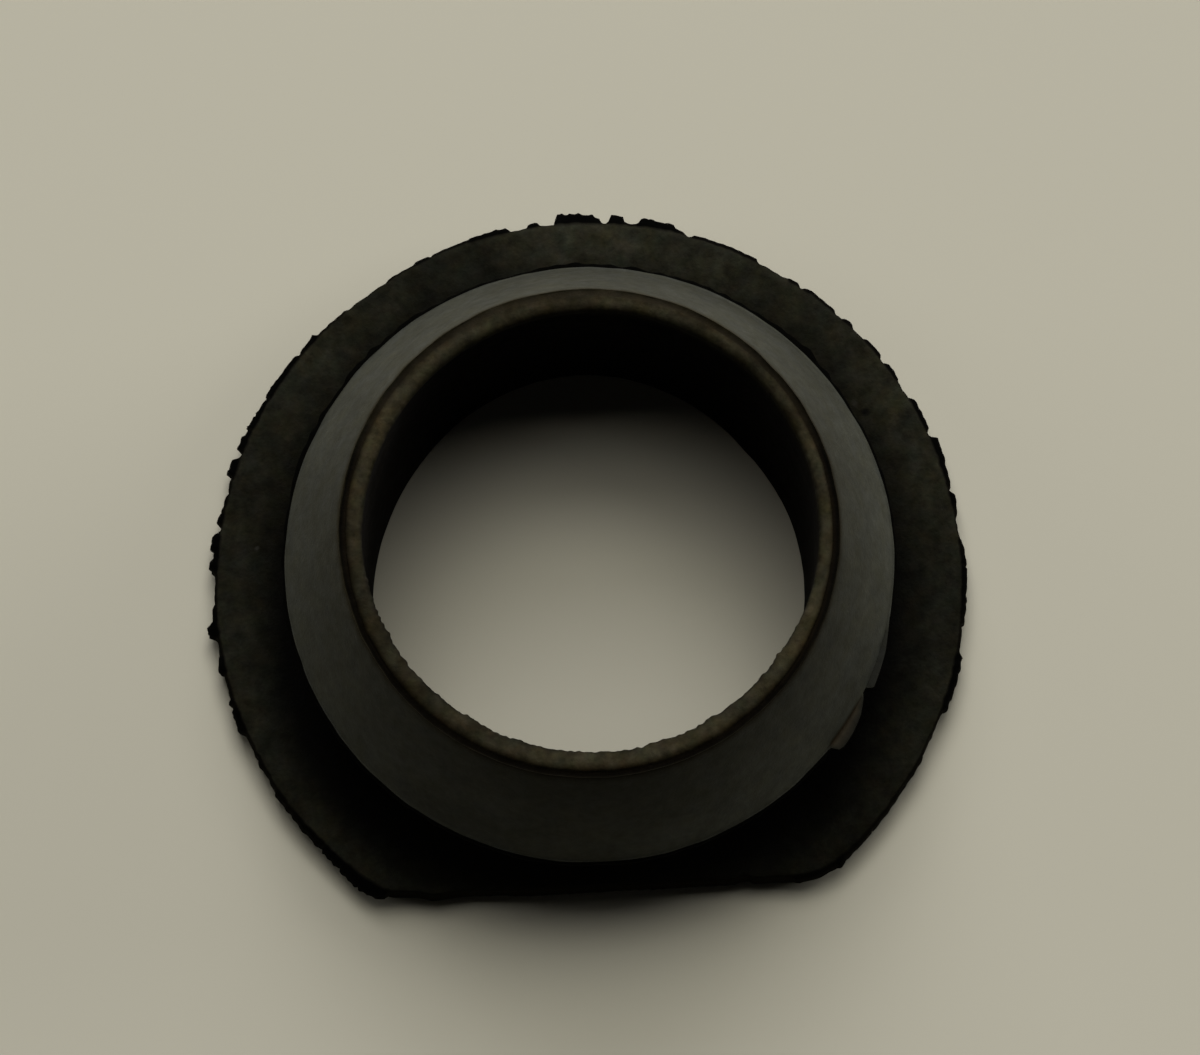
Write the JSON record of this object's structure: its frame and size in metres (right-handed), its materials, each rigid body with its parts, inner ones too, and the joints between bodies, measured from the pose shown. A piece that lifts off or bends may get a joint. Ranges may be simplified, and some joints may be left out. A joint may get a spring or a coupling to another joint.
{
  "type": "rubber grommet",
  "caption": "Black rubber grommet with a D-shaped flange, a neck groove for a panel edge, a tapered push-in nose and a straight bore.",
  "frame": {"origin": "centre of the bore at the flange's underside", "axes": "+Z along the bore axis, from the flange towards the tapered nose; the flat of the flange faces -Y"},
  "size_m": [0.0252, 0.023, 0.009],
  "materials": {
    "rubber": "matt black rubber with a thin grey bloom"
  },
  "bodies": {
    "root": {"grommet": "rubber"}
  },
  "joints": []
}
